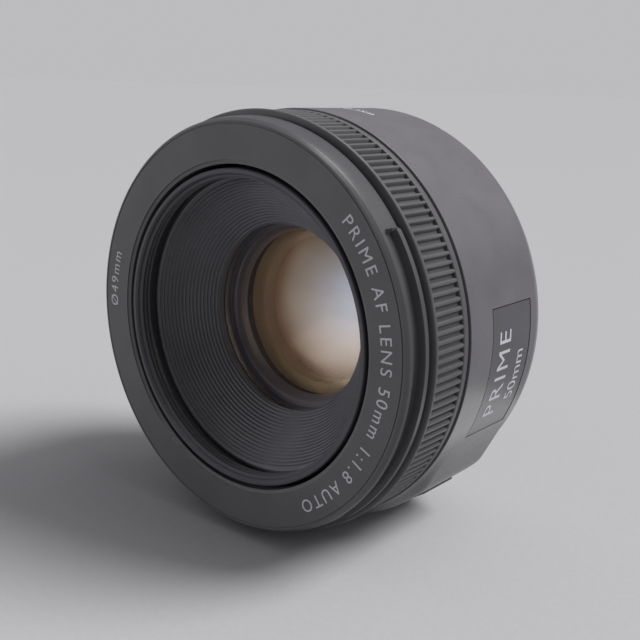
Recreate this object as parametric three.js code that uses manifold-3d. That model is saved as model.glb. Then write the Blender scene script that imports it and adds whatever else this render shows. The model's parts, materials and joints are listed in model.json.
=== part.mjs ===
// Compact 50 mm prime lens for an interchangeable-lens camera, resting on its switch panel.
// Millimetres, +Z up. The optical axis runs along +Y, from the front face to the mount.
// Depths are measured along the axis from the front face; clock angles are in degrees, seen
// from the front, with 0 towards +X and 90 towards +Z.

import * as THREE from "three";
import { mergeVertices } from "three/addons/utils/BufferGeometryUtils.js";
import Module from "manifold-3d";

const wasm = await Module();
wasm.setup();

// ---------------------------------------------------------------- driving dimensions

const BARREL_R = 34.6;            // outer radius of the rear barrel
const FLANGE_S = 39.3;            // depth of the mounting flange
const LENGTH = 44.8;              // front face to the end of the bayonet
const REST_D = 35.2;              // axis to the flat that the lens lies on
const TOP_T = -8.25;              // clock angle of the lens's own top, where the name plate is
const FACETS = 32;                // facets round an outer shell
const INNER_FACETS = 24;          // facets round a small inner ring

const FRONT_BORE_R = 26.2;        // bore of the front barrel
const BELL_R = 25.85;             // outer radius of the inner barrel's front bell
const THREAD_R = 24.1;            // crest of the 49 mm filter thread
const SLEEVE_R = 31.6;            // sleeve that carries the focus ring
const FOCUS_R = 34.3;             // outer radius of the focus ring
const FOCUS_RIBS = 39;            // coarse ribs, each as wide as four fine ones

const THROAT_R = 25.3;            // bayonet spigot, inside the camera's 54 mm throat
const LUG_R = 26.9;
const MOUNT_R = 32.4;

const TRAVEL = 10.5;              // forward travel of the optical unit at closest focus
const CAM_TURN = 80;              // turn of the cam ring over that travel, in degrees
const TUBE_R = 19.4;              // rear tube of the inner barrel
const GUIDE_R = 20.7;             // guide barrel
const CAM_R = 22.0;               // cam ring
const FOLLOWER_S = 31.2;          // depth of the cam followers at infinity
const FOLLOWER_R = 0.9;
const FOLLOWER_T = [50, 170, 290];

const MODULE = 0.6;               // focus gears
const CAM_TEETH = 76;
const IRIS_MODULE = 0.3;
const IRIS_TEETH = 112;
const PINION_TEETH = 8;

const BLADES = 7;
const BLADE_T = 0.12;             // blade thickness
const BLADE_STEP = 0.185;         // from one blade's level to the next
const BLADE_S = 30.47;            // front of the first blade
const PIVOT_R = 14.4;             // circle of the blade pivots
const CRANK = 3.0;                // pivot to drive pin
const BLADE_TURN = 35;            // turn of a blade, in degrees
const IRIS_TURN = 5.6;            // turn of the iris ring, in degrees
const IRIS_RING_S = 29.8;

// ---------------------------------------------------------------- materials

const finish = (color, roughness, metalness = 0) => () =>
  new THREE.MeshStandardMaterial({ color, roughness, metalness });
const blackPlastic = finish(0x3c3c40, 0.55);
const barrelPlastic = finish(0x57565a, 0.6);
const innerPlastic = finish(0x222226, 0.7);
const platePlastic = finish(0x4b4b4f, 0.45);
const steel = finish(0xb9bbbe, 0.3, 1);
const brass = finish(0xb08d4a, 0.35, 1);
const aluminium = finish(0x8b8d92, 0.4, 0.9);
const bladeBlack = finish(0x1b1b1d, 0.5, 0.6);
const board = finish(0x1d5a38, 0.6);
const chipBlack = finish(0x17171a, 0.4);
const redPaint = finish(0xb3261e, 0.4);
const glass = finish(0xb9a690, 0.05);

// ---------------------------------------------------------------- shape helpers

const rad = THREE.MathUtils.degToRad;
const P = (r, s) => new THREE.Vector2(r, s);
const polar = (r, t) => P(r * Math.cos(rad(t)), r * Math.sin(rad(t)));

// A body of revolution. The profile is (radius, depth): it closes on itself, or it starts and
// ends on the axis.
function turned(profile, facets = FACETS) {
  const points = profile.map(([r, s]) => P(r, s));
  if (points[0].x > 0) points.push(points[0].clone());
  if (THREE.ShapeUtils.area(points) < 0) points.reverse();
  return new THREE.LatheGeometry(points, facets);
}

const tube = (inner, outer, s0, s1, facets = FACETS) =>
  turned([[inner, s0], [outer, s0], [outer, s1], [inner, s1]], facets);

// An outline drawn as seen from the front, extruded from depth s0 to s1.
function prism(points, s0, s1, holes = []) {
  const shape = new THREE.Shape(points);
  shape.holes = holes.map((hole) => new THREE.Path(hole));
  const geometry = new THREE.ExtrudeGeometry(shape, { depth: s1 - s0, bevelEnabled: false });
  return geometry.rotateX(Math.PI / 2).translate(0, s1, 0);
}

const disc = (r, sides, cx = 0, cy = 0) =>
  Array.from({ length: sides }, (_, i) => polar(r, (360 * i) / sides).add(P(cx, cy)));

const arc = (r, t0, t1, steps) =>
  Array.from({ length: steps + 1 }, (_, i) => polar(r, t0 + ((t1 - t0) * i) / steps));

const sectorOutline = (inner, outer, t0, t1, steps) =>
  [...arc(outer, t0, t1, steps), ...arc(inner, t1, t0, steps)];

const sector = (inner, outer, s0, s1, t0, t1, steps) =>
  prism(sectorOutline(inner, outer, t0, t1, steps), s0, s1);

// A round pin parallel to the optical axis, at radius `at` and clock angle t.
function pin(r, s0, s1, at, t, sides = 8) {
  const centre = polar(at, t);
  return prism(disc(r, sides, centre.x, centre.y), s0, s1);
}

// A round pin that points away from the axis, at depth s and clock angle t.
function radialPin(r, r0, r1, s, t, sides = 8) {
  const geometry = new THREE.CylinderGeometry(r, r, r1 - r0, sides);
  return geometry.rotateZ(-Math.PI / 2).translate((r0 + r1) / 2, s, 0).rotateY(-rad(t));
}

const block = (x, y, z, w, d, h) => new THREE.BoxGeometry(w, d, h).translate(x, y, z);

// A slot through the wall of a tube, as a band whose centre line is given by [clock angle, depth]
// points and whose width is measured along the axis or, for an axial slot, round the tube.
function slotBand(inner, outer, path, half, axial = false) {
  const corners = [];
  for (const [t, s] of path) {
    const side = axial ? THREE.MathUtils.radToDeg(half / inner) : 0;
    const lift = axial ? 0 : half;
    for (const [r, k] of [[inner, -1], [outer, -1], [outer, 1], [inner, 1]]) {
      const p = polar(r, t + k * side);
      corners.push([p.x, s + k * lift, p.y]);
    }
  }
  const index = [];
  const last = path.length - 1;
  for (let i = 0; i < last; i++) {
    for (let k = 0; k < 4; k++) {
      const a = 4 * i + k;
      const b = 4 * i + ((k + 1) % 4);
      index.push(a, b, b + 4, a, b + 4, a + 4);
    }
  }
  index.push(0, 2, 1, 0, 3, 2);
  index.push(4 * last, 4 * last + 1, 4 * last + 2, 4 * last, 4 * last + 2, 4 * last + 3);
  const geometry = new THREE.BufferGeometry();
  geometry.setAttribute("position", new THREE.Float32BufferAttribute(corners.flat(), 3));
  geometry.setIndex(index);
  return geometry;
}

function toSolid(geometry) {
  const bare = geometry.clone();
  bare.deleteAttribute("normal");
  bare.deleteAttribute("uv");
  const merged = mergeVertices(bare, 1e-5);
  const triVerts = new Uint32Array(merged.index.array);
  const vertProperties = new Float32Array(merged.attributes.position.array);
  const mesh = new wasm.Mesh({ numProp: 3, vertProperties, triVerts });
  const solid = new wasm.Manifold(mesh);
  if (solid.volume() > 0) return solid;
  for (let i = 0; i < triVerts.length; i += 3) {
    [triVerts[i], triVerts[i + 1]] = [triVerts[i + 1], triVerts[i]];
  }
  return new wasm.Manifold(new wasm.Mesh({ numProp: 3, vertProperties, triVerts }));
}

function toGeometry(solid) {
  const mesh = solid.getMesh();
  const geometry = new THREE.BufferGeometry();
  geometry.setAttribute("position", new THREE.Float32BufferAttribute(mesh.vertProperties, 3));
  geometry.setIndex(new THREE.Uint32BufferAttribute(mesh.triVerts, 1));
  return geometry;
}

const combine = (how) => (first, ...rest) =>
  toGeometry(rest.reduce((solid, tool) => solid[how](toSolid(tool)), toSolid(first)));
const join = combine("add");
const cut = combine("subtract");

// ---------------------------------------------------------------- the assembly

const lens = new THREE.Group();
lens.position.set(0, -LENGTH / 2, REST_D);

function add(name, geometry, material) {
  const mesh = new THREE.Mesh(geometry, material());
  mesh.name = name;
  lens.add(mesh);
}

// ---------------------------------------------------------------- outer shells

// The front barrel: name ring, hood bayonet and the sleeve that the focus ring turns on. The
// hood grips two undercut grooves, above and below, each behind a raised rear lip.
const HOOD_HALF = 43.4;
function frontBarrel() {
  const plain = turned([
    [FRONT_BORE_R, 0.25], [FRONT_BORE_R + 0.25, 0], [32.7, 0], [33.2, 0.35], [33.4, 1.1],
    [33.5, 3.8], [33.1, 4.4], [SLEEVE_R, 4.4], [SLEEVE_R, 19], [SLEEVE_R - 0.8, 19],
    [SLEEVE_R - 0.8, 6.5], [FRONT_BORE_R, 5.4],
  ]);
  const halves = [TOP_T, TOP_T + 180];
  const grooves = halves.map((t) => sector(32.5, 35, 1.6, 3.7, t - HOOD_HALF, t + HOOD_HALF, 12));
  const lips = halves.map((t) => sector(32, 33.9, 3.75, 4.35, t - HOOD_HALF, t + HOOD_HALF, 12));
  return join(cut(plain, ...grooves), ...lips);
}
add("front_barrel", frontBarrel(), blackPlastic);

// The rear barrel steps in round the sleeve, tapers to the mount and carries an inner flange
// for the mount's screws. It has a pocket for the name plate and a slot for the switch.
const PLATE_HALF = 18.3;
const PLATE_S = [21, 34.6];
const SCREW_T = [20, 110, 200, 290].map((t) => t + TOP_T);
const SCREW_RING_R = 29.2;
const GUIDE_SCREW_T = [75, 195, 315];
const SWITCH_S = 28;
const SWITCH_THROW = 2.5;
const KNOB = { width: 4.6, length: 5.4 };
function rearBarrel() {
  const shell = turned([
    [31.9, 14.4], [BARREL_R - 0.3, 14.4], [BARREL_R, 14.7], [BARREL_R, 34.8], [34.3, 36],
    [33.6, 37.2], [32.7, 38.2], [32.3, 38.2], [32.3, 38.05], [25.6, 38.05], [25.6, 36.6],
    [33.3, 36.6], [33.3, 18.6], [31.9, 18.6],
  ]);
  const pocket = sector(
    33.95, 36, PLATE_S[0] - 0.2, PLATE_S[1] + 0.2,
    TOP_T - PLATE_HALF - 0.4, TOP_T + PLATE_HALF + 0.4, 6,
  );
  const slotLength = KNOB.length + SWITCH_THROW + 0.6;
  const slot = block(
    0, SWITCH_S + SWITCH_THROW / 2, -BARREL_R + 1, KNOB.width + 0.6, slotLength, 4,
  );
  const holes = [
    ...SCREW_T.map((t) => pin(1.1, 36, 39, SCREW_RING_R, t)),
    ...GUIDE_SCREW_T.map((t) => pin(0.95, 36, 39, SCREW_RING_R, t)),
  ];
  return cut(shell, pocket, slot, ...holes);
}
add("rear_barrel", rearBarrel(), barrelPlastic);

add("name_plate", sector(34.1, BARREL_R - 0.05, PLATE_S[0], PLATE_S[1],
  TOP_T - PLATE_HALF, TOP_T + PLATE_HALF, 6), platePlastic);

// The switch panel is a pad on the barrel whose lowest part is the flat that the lens lies on.
const PANEL_T = [-105, -52.5];
const PANEL_S = [21.5, 35.3];
function switchPanel() {
  const pad = sector(34.8, 35.8, ...PANEL_S, ...PANEL_T, 7);
  const flat = block(0, 28, -REST_D - 5, 60, 40, 10);
  const windowLength = KNOB.length + SWITCH_THROW + 0.6;
  const window = block(
    0, SWITCH_S + SWITCH_THROW / 2, -REST_D, KNOB.width + 0.6, windowLength, 6,
  );
  return cut(pad, flat, window);
}
add("switch_panel", switchPanel(), blackPlastic);

function switchKnob() {
  const head = block(0, SWITCH_S, -33.9, KNOB.width, KNOB.length, 2);
  const grips = [-1.6, 0, 1.6].map((d) => block(0, SWITCH_S + d, -34.95, 5, 0.5, 0.6));
  const stem = block(0, SWITCH_S, -32.6, 1.6, 1.6, 1);
  return join(cut(head, ...grips), stem);
}
add("switch_knob", switchKnob(), blackPlastic);
add("switch_board", block(0, SWITCH_S + 1, -31.4, 9, 9, 0.8), board);

// ---------------------------------------------------------------- focus ring

function focusRing() {
  const rib = 360 / FOCUS_RIBS;
  const grooveR = FOCUS_R - 0.5;
  const ribR = FOCUS_R - 0.15;
  const outline = [];
  for (let i = 0; i < FOCUS_RIBS; i++) {
    const t = i * rib;
    outline.push(polar(grooveR, t - 0.32 * rib), polar(grooveR, t));
    outline.push(polar(ribR, t), polar(ribR, t + 0.5 * rib));
  }
  const inner = 32.0;
  const ribs = prism(outline, 6, 12.85, [disc(inner + 0.2, FOCUS_RIBS)]);
  const front = tube(inner, FOCUS_R, 5.15, 6.1, FOCUS_RIBS);
  const rear = tube(inner, FOCUS_R, 12.75, 14, FOCUS_RIBS);
  return join(ribs, front, rear);
}
add("focus_ring", focusRing(), blackPlastic);
add("ring_sensor", sector(28, 30.3, 8.5, 12, 96, 106, 2), chipBlack);

// ---------------------------------------------------------------- bayonet mount

const HEAD = { r: 1.75, depth: 0.7 };
function bayonetMount() {
  const body = turned([
    [23.7, 38.35], [MOUNT_R, 38.35], [MOUNT_R, FLANGE_S - 0.2], [MOUNT_R - 0.2, FLANGE_S],
    [THROAT_R, FLANGE_S], [THROAT_R, LENGTH - 0.3], [THROAT_R - 0.3, LENGTH], [23.7, LENGTH],
  ]);
  const lugs = [
    [TOP_T + 22, 52], [TOP_T + 142, 46], [TOP_T + 262, 46],
  ].map(([t, span]) => sector(25, LUG_R, 42.5, 43.9, t - span / 2, t + span / 2, 6));
  const holes = SCREW_T.flatMap((t) => [
    pin(1.1, 38, 40, SCREW_RING_R, t),
    pin(HEAD.r + 0.15, FLANGE_S - HEAD.depth - 0.05, 40, SCREW_RING_R, t),
  ]);
  const lockHole = pin(1.5, 38.6, 40, 28.9, TOP_T - 62);
  const dotSeat = pin(1.15, FLANGE_S - 0.4, 40, 30.3, TOP_T);
  return cut(join(body, ...lugs), ...holes, lockHole, dotSeat);
}
add("bayonet_mount", bayonetMount(), steel);
add("mount_index_dot", pin(0.95, FLANGE_S - 0.35, FLANGE_S - 0.05, 30.3, TOP_T), redPaint);

SCREW_T.forEach((t, i) => {
  const head = pin(HEAD.r, FLANGE_S - HEAD.depth, FLANGE_S - 0.1, SCREW_RING_R, t);
  const shank = pin(0.85, 36.8, FLANGE_S - HEAD.depth + 0.1, SCREW_RING_R, t);
  const c = polar(SCREW_RING_R, t);
  const recess = [
    block(c.x, FLANGE_S, c.y, 2, 0.7, 0.4),
    block(c.x, FLANGE_S, c.y, 0.4, 0.7, 2),
  ];
  add(`mount_screw_${i + 1}`, cut(join(head, shank), ...recess), steel);
});

// The contact block fills a window in the rear baffle, on the side opposite the name plate.
const CONTACT_T = TOP_T + 180;
const CONTACTS = 7;
function rearBaffle() {
  const body = turned([
    [14.6, 43.9], [22.6, 43.9], [22.6, 38.6], [23.4, 38.6], [23.4, 44.6], [14.6, 44.6],
  ]);
  return cut(body, sector(18.7, 22.2, 43, 46, CONTACT_T - 31, CONTACT_T + 31, 6));
}
add("rear_baffle", rearBaffle(), innerPlastic);

function contactBlock() {
  const body = sector(19, 22, 40.8, 44.3, CONTACT_T - 29.5, CONTACT_T + 29.5, 6);
  const pins = Array.from({ length: CONTACTS }, (_, i) =>
    pin(0.55, 44, 44.6, 20.6, CONTACT_T + (i - (CONTACTS - 1) / 2) * 8.2, 6));
  return join(body, ...pins);
}
add("contact_block", contactBlock(), chipBlack);

// ---------------------------------------------------------------- fixed inner structure

function mainBoard() {
  const plate = sector(22.6, 32.6, 35.5, 36.3, CONTACT_T - 150, CONTACT_T + 150, 15);
  return cut(plate, ...GUIDE_SCREW_T.map((t) => pin(1.1, 35, 37, SCREW_RING_R, t)));
}
add("main_board", mainBoard(), board);
add("lens_processor", sector(22.9, 25.2, 36.4, 37.4, CONTACT_T - 14, CONTACT_T - 4, 1), chipBlack);

function guideBarrel() {
  const body = turned([
    [GUIDE_R - 0.9, 15.7], [GUIDE_R, 15.7], [GUIDE_R, 34.2], [32.9, 34.2], [32.9, 35.2],
    [GUIDE_R - 0.9, 35.2],
  ]);
  const slots = FOLLOWER_T.map((t) => slotBand(
    GUIDE_R - 2, GUIDE_R + 1,
    [[t, FOLLOWER_S - TRAVEL - 1.3], [t, FOLLOWER_S + 1.3]], FOLLOWER_R + 0.2, true,
  ));
  const holes = GUIDE_SCREW_T.map((t) => pin(0.95, 34, 36, SCREW_RING_R, t));
  return cut(body, ...slots, ...holes);
}
add("guide_barrel", guideBarrel(), aluminium);

GUIDE_SCREW_T.forEach((t, i) => {
  const head = pin(1.5, 33.3, 34.1, SCREW_RING_R, t, 10);
  const shank = pin(0.75, 34, 37.6, SCREW_RING_R, t, 10);
  add(`guide_screw_${i + 1}`, join(head, shank), steel);
});

// ---------------------------------------------------------------- focus drive

// A tooth's outline: how far its root and tip lie from the pitch circle, in modules, and the
// half widths there, as shares of the tooth pitch.
const TOOTH = { root: 1.1, tip: 0.8, rootHalf: 0.27, tipHalf: 0.1 };

// A spur gear's outline: trapezoidal teeth of the given module round a centre, one of them
// centred on the clock angle `phase`.
function gearOutline(teeth, module, centre, phase) {
  const pitchR = (teeth * module) / 2;
  const tooth = 360 / teeth;
  const points = [];
  for (let i = 0; i < teeth; i++) {
    const t = phase + i * tooth;
    const rootR = pitchR - TOOTH.root * module;
    const tipR = pitchR + TOOTH.tip * module;
    for (const [r, k] of [
      [rootR, -TOOTH.rootHalf], [tipR, -TOOTH.tipHalf], [tipR, TOOTH.tipHalf],
      [rootR, TOOTH.rootHalf],
    ]) {
      points.push(polar(r, t + k * tooth).add(centre));
    }
  }
  return points;
}

const CAM_GEAR_S = [18.4, 19.5];
const SECOND_S = [17.1, 18.1];
const FIRST_S = [15.9, 16.9];
const FRAME_S = [19.8, 20.6];
const pitch = (teeth, module = MODULE) => (teeth * module) / 2;

// The train runs from the cam ring to the motor in an arc behind the name ring's upper edge.
const GEAR_2 = { t: 100, driven: 14, driving: 10 };
const GEAR_1 = { r: 25.6, t: GEAR_2.t + 14.8, driven: 14, driving: 8 };
const MOTOR = { r: 26.2, t: GEAR_1.t + 14.6, bodyR: 3.9 };
const gear2At = polar(pitch(CAM_TEETH) + pitch(GEAR_2.driving), GEAR_2.t);
const gear1At = polar(GEAR_1.r, GEAR_1.t);
const pinionAt = polar(MOTOR.r, MOTOR.t);
const bearing = (from, to) => THREE.MathUtils.radToDeg(Math.atan2(to.y - from.y, to.x - from.x));

// The clock angle of a tooth of gear b that lies in a gap of gear a, whose tooth points at b.
const meshed = (from, to, teeth) => bearing(to, from) + 180 / teeth;

// The cam ring: a tube with three helical slots and a toothed sector at its front end.
function camRing() {
  const inner = GUIDE_R + 0.3;
  const body = tube(inner, CAM_R, CAM_GEAR_S[0], 34);
  const step = 360 / CAM_TEETH;
  const count = Math.ceil((CAM_TURN + 12) / step);
  const towards = bearing(P(0, 0), gear2At);
  const rootR = pitch(CAM_TEETH) - TOOTH.root * MODULE;
  const tipR = pitch(CAM_TEETH) + TOOTH.tip * MODULE;
  const outline = arc(CAM_R - 0.4, towards + (count - 1) * step, towards - 2 * step, 24);
  for (let i = -1; i < count - 1; i++) {
    const t = towards + i * step;
    outline.push(
      polar(rootR, t - TOOTH.rootHalf * step), polar(tipR, t - TOOTH.tipHalf * step),
      polar(tipR, t + TOOTH.tipHalf * step), polar(rootR, t + TOOTH.rootHalf * step),
    );
  }
  const teeth = prism(outline, ...CAM_GEAR_S);
  const steps = 6;
  const slots = FOLLOWER_T.map((t) => {
    const slope = TRAVEL / CAM_TURN;
    const path = Array.from({ length: steps + 1 }, (_, i) => {
      const turn = -3 + ((CAM_TURN + 6) * i) / steps;
      return [t + turn, FOLLOWER_S - slope * turn];
    });
    return slotBand(inner - 1, CAM_R + 1, path, FOLLOWER_R + 0.25);
  });
  return cut(join(body, teeth), ...slots);
}
add("cam_ring", camRing(), aluminium);

// A two-step gear on an axle: one wheel that is driven and a smaller one that drives.
function stepGear(at, wheel, small) {
  const bore = () => disc(0.64, 8, at.x, at.y);
  const big = prism(gearOutline(wheel.teeth, MODULE, at, wheel.phase), ...wheel.s, [bore()]);
  const little = prism(gearOutline(small.teeth, MODULE, at, small.phase), ...small.s, [bore()]);
  const s0 = Math.min(wheel.s[0], small.s[0]);
  const s1 = Math.max(wheel.s[1], small.s[1]);
  const hub = prism(disc(1.2, 8, at.x, at.y), s0, s1, [bore()]);
  return join(big, little, hub);
}
add("gear_2", stepGear(
  gear2At,
  { teeth: GEAR_2.driven, s: SECOND_S, phase: bearing(gear2At, gear1At) },
  { teeth: GEAR_2.driving, s: CAM_GEAR_S, phase: meshed(P(0, 0), gear2At, GEAR_2.driving) },
), brass);
add("gear_1", stepGear(
  gear1At,
  { teeth: GEAR_1.driven, s: FIRST_S, phase: bearing(gear1At, pinionAt) },
  { teeth: GEAR_1.driving, s: SECOND_S, phase: meshed(gear2At, gear1At, GEAR_1.driving) },
), brass);

function motorPinion() {
  const phase = meshed(gear1At, pinionAt, PINION_TEETH);
  const teeth = prism(gearOutline(PINION_TEETH, MODULE, pinionAt, phase), ...FIRST_S);
  const shaft = prism(disc(0.6, 8, pinionAt.x, pinionAt.y), 16.5, 21);
  return join(teeth, shaft);
}
add("motor_pinion", motorPinion(), brass);

add("gear_axle_1", prism(disc(0.5, 8, gear1At.x, gear1At.y), 15.6, 20.5), steel);
add("gear_axle_2", prism(disc(0.5, 8, gear2At.x, gear2At.y), 16.8, 20.5), steel);

function gearFrame() {
  const plate = sector(CAM_R + 0.4, 30.6, ...FRAME_S, GEAR_2.t - 12, MOTOR.t + 12.6, 10);
  const seats = [gear1At, gear2At].map((at) => prism(disc(0.6, 8, at.x, at.y), 19, 22));
  const shaftHole = prism(disc(0.9, 8, pinionAt.x, pinionAt.y), 19, 22);
  return cut(plate, ...seats, shaftHole);
}
add("gear_frame", gearFrame(), steel);

function focusMotor() {
  const body = prism(disc(MOTOR.bodyR, 16, pinionAt.x, pinionAt.y), 20.9, 32.6);
  return cut(body, prism(disc(0.85, 8, pinionAt.x, pinionAt.y), 20, 21.6));
}
add("focus_motor", focusMotor(), steel);

// ---------------------------------------------------------------- optical unit

// The inner barrel: a bell with the filter thread in front, and a tube behind it that slides in
// the guide barrel on three cam followers.
function innerBarrel() {
  const thread = [];
  const turns = 2;
  for (let i = 0; i < turns; i++) {
    thread.push([THREAD_R, 1.2 + 0.9 * i], [24.5, 1.65 + 0.9 * i]);
  }
  const body = turned([
    [24.7, 0.3], [25.6, 0.3], [BELL_R, 0.55], [BELL_R, 15], [TUBE_R, 15.4],
    [TUBE_R, 32.9], [18.5, 32.9], [18.5, 16.4], [16.6, 16.4], [16.6, 14.6], [24.9, 14.2],
    [24.9, 3.6], [THREAD_R, 3.3], ...thread.reverse(),
  ]);
  return cut(body, ...FOLLOWER_T.map((t) => radialPin(0.8, 17, 21, FOLLOWER_S, t)));
}
add("inner_barrel", innerBarrel(), innerPlastic);

FOLLOWER_T.forEach((t, i) => {
  const head = radialPin(FOLLOWER_R, TUBE_R + 0.1, CAM_R - 0.15, FOLLOWER_S, t);
  const shank = radialPin(0.65, 18.6, TUBE_R + 0.3, FOLLOWER_S, t);
  add(`cam_follower_${i + 1}`, join(head, shank), brass);
});

// The baffle is a cone with concentric steps that keep stray light off the front element.
function ribbedBaffle() {
  const steps = 6;
  const mouth = { r: 23.3, s: 4.1 };
  const throat = { r: 15.5, s: 13.2 };
  const profile = [[24.7, 3.9], [23.6, 3.9]];
  for (let i = 0; i <= steps; i++) {
    const k = i / steps;
    const r = mouth.r + (throat.r - mouth.r) * k;
    const s = mouth.s + (throat.s - mouth.s) * k;
    profile.push([r, s]);
    if (i < steps) profile.push([r - 0.55, s + 0.2]);
  }
  profile.push([16.6, 14.0], [24.7, 5.0]);
  return turned(profile, INNER_FACETS);
}
add("ribbed_baffle", ribbedBaffle(), innerPlastic);

const L1_RIM = 14.8;
add("front_retainer", turned([
  [15.35, 13.6], [16.3, 14.3], [16.3, 16.1], [15.6, 17.6], [14.3, 17.6], [14.4, 17.2],
], INNER_FACETS), innerPlastic);

// Spherical faces of a lens element, as profile points from the axis to the rim.
function face(vertex, radius, rim, steps = 2) {
  return Array.from({ length: steps + 1 }, (_, i) => {
    const r = (rim * i) / steps;
    const sag = Math.abs(radius) - Math.sqrt(radius * radius - r * r);
    return [r, vertex + Math.sign(radius) * sag];
  });
}
function element(front, rear, rim, faces = {}) {
  const frontFace = face(front.at, front.radius, faces.front ?? rim);
  const rearFace = face(rear.at, rear.radius, faces.rear ?? rim);
  const frontRim = faces.front ? [[rim, frontFace.at(-1)[1]]] : [];
  const rearRim = faces.rear ? [[rim, rearFace.at(-1)[1]]] : [];
  return turned([...frontFace, ...frontRim, ...rearRim, ...rearFace.reverse()], 18);
}
const ELEMENTS = [
  element({ at: 14.6, radius: 34 }, { at: 18.6, radius: 130 }, L1_RIM),
  element({ at: 18.9, radius: 20.5 }, { at: 23.5, radius: 50 }, 13),
  element({ at: 24.6, radius: 70 }, { at: 25.8, radius: 15.5 }, 11.3, { rear: 9.6 }),
  element({ at: 35.7, radius: -16.5 }, { at: 36.85, radius: 70 }, 10.2, { front: 9.6 }),
  element({ at: 37, radius: 70 }, { at: 40.2, radius: -26 }, 10.2),
  element({ at: 40.4, radius: 120 }, { at: 43.4, radius: -50 }, 11.5),
];
ELEMENTS.forEach((geometry, i) => add(`lens_${i + 1}`, geometry, glass));

add("front_lens_cell", turned([
  [14.95, 17.9], [16.2, 17.9], [16.2, 21.5], [13.6, 25.3], [13.2, 29.2], [11.5, 29.2],
  [11.5, 26.1], [13.15, 25.9], [13.15, 20.6], [14.95, 19.7],
], INNER_FACETS), innerPlastic);
add("spacer_ring", turned([
  [11.9, 25.3], [13.0, 25.3], [13.0, 25.75], [11.9, 25.75],
], INNER_FACETS), aluminium);
add("rear_lens_cell", turned([
  [10.4, 32.65], [17.9, 32.65], [17.9, 33.4], [12.4, 34.2], [13.0, 42.7], [11.7, 42.7],
  [11.7, 40.7], [10.4, 40.2],
], INNER_FACETS), innerPlastic);
add("rear_retainer", turned([
  [10.9, 42.85], [12.9, 42.85], [12.9, 43.5], [11.3, 43.5],
], INNER_FACETS), innerPlastic);

// ---------------------------------------------------------------- iris

const BLADE_PITCH = 360 / BLADES;
const IRIS_MOTOR_T = 200;
const irisPinionAt = polar(pitch(IRIS_TEETH, IRIS_MODULE) - pitch(PINION_TEETH, IRIS_MODULE),
  IRIS_MOTOR_T);
const bladeAngle = (i) => i * BLADE_PITCH - 2;

function irisBase() {
  const body = tube(9.9, 18.2, 31.85, 32.45, INNER_FACETS);
  const holes = Array.from({ length: BLADES }, (_, i) =>
    pin(0.5, 31, 33, PIVOT_R, bladeAngle(i), 8));
  return cut(body, ...holes);
}
add("iris_base", irisBase(), aluminium);

function irisCover() {
  const shaftHole = prism(disc(0.7, 8, irisPinionAt.x, irisPinionAt.y), 29, 30);
  return cut(tube(13.5, 18.2, 29.35, 29.62, INNER_FACETS), shaftHole);
}
add("iris_cover", irisCover(), aluminium);

// The iris ring: one slot for each blade's drive pin, and internal teeth at the motor. A slot
// follows the pin as the blade turns by a constant ratio to the ring.
function irisRing() {
  const body = tube(16.0, 18.1, IRIS_RING_S, IRIS_RING_S + 0.5, INNER_FACETS);
  const slots = Array.from({ length: BLADES }, (_, i) => {
    const steps = 3;
    const left = [];
    const right = [];
    for (let k = -1; k <= steps + 1; k++) {
      const turn = (BLADE_TURN * Math.min(Math.max(k, 0), steps)) / steps;
      const ring = (IRIS_TURN * turn) / BLADE_TURN;
      const drive = polar(CRANK, turn).add(P(PIVOT_R, 0));
      const t = bearing(P(0, 0), drive) - ring + bladeAngle(i);
      const over = k < 0 ? 0.42 : k > steps ? -0.42 : 0;
      const side = THREE.MathUtils.radToDeg(0.42 / drive.length());
      left.push(polar(drive.length() + over, t - side));
      right.push(polar(drive.length() + over, t + side));
    }
    return prism([...left, ...right.reverse()], IRIS_RING_S - 1, IRIS_RING_S + 1);
  });
  const step = 360 / IRIS_TEETH;
  const pitchR = pitch(IRIS_TEETH, IRIS_MODULE);
  const window = sector(15.5, pitchR - 0.25, 29, 31, IRIS_MOTOR_T - 12, IRIS_MOTOR_T + 14, 3);
  const gaps = [-2, -1, 0, 1, 2, 3].map((i) => {
    const t = IRIS_MOTOR_T + i * step;
    return prism([
      polar(pitchR - 0.4, t - 0.4 * step), polar(pitchR + 0.36, t - 0.24 * step),
      polar(pitchR + 0.36, t + 0.24 * step), polar(pitchR - 0.4, t + 0.4 * step),
    ], 29, 31);
  });
  return cut(body, ...slots, window, ...gaps);
}
add("iris_ring", irisRing(), steel);

function irisPinion() {
  const outline = gearOutline(PINION_TEETH, IRIS_MODULE, irisPinionAt, IRIS_MOTOR_T);
  const teeth = prism(outline, IRIS_RING_S, IRIS_RING_S + 0.5);
  const shaft = prism(disc(0.45, 8, irisPinionAt.x, irisPinionAt.y), 28.6, IRIS_RING_S + 0.2);
  return join(teeth, shaft);
}
add("iris_pinion", irisPinion(), brass);

function irisMotor() {
  const { x, y } = irisPinionAt;
  return cut(prism(disc(1.9, 12, x, y), 25.4, 29.1), prism(disc(0.65, 8, x, y), 28.4, 30));
}
add("iris_motor", irisMotor(), steel);

// A blade is a crescent with a round boss at its pivot, a tail that carries the drive pin in
// front of it and a pivot pin behind it.
function irisBlade(i) {
  const t = bladeAngle(i);
  const s0 = BLADE_S + i * BLADE_STEP;
  const s1 = s0 + BLADE_T;
  const pivot = polar(PIVOT_R, t);
  const crescent = sector(9.9, 13.7, s0, s1, t - 3, t + 104, 8);
  const tail = sector(13.5, 17.95, s0, s1, t - 2, t + 2, 1);
  const boss = prism(disc(1.1, 8, pivot.x, pivot.y), s0, s1);
  const pivotPin = pin(0.35, s0 + 0.06, 32.3, PIVOT_R, t, 6);
  const drivePin = pin(0.3, IRIS_RING_S - 0.1, s1 - 0.06, PIVOT_R + CRANK, t, 6);
  return join(crescent, tail, boss, pivotPin, drivePin);
}
for (let i = 0; i < BLADES; i++) add(`iris_blade_${i + 1}`, irisBlade(i), bladeBlack);

export default lens;
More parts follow.
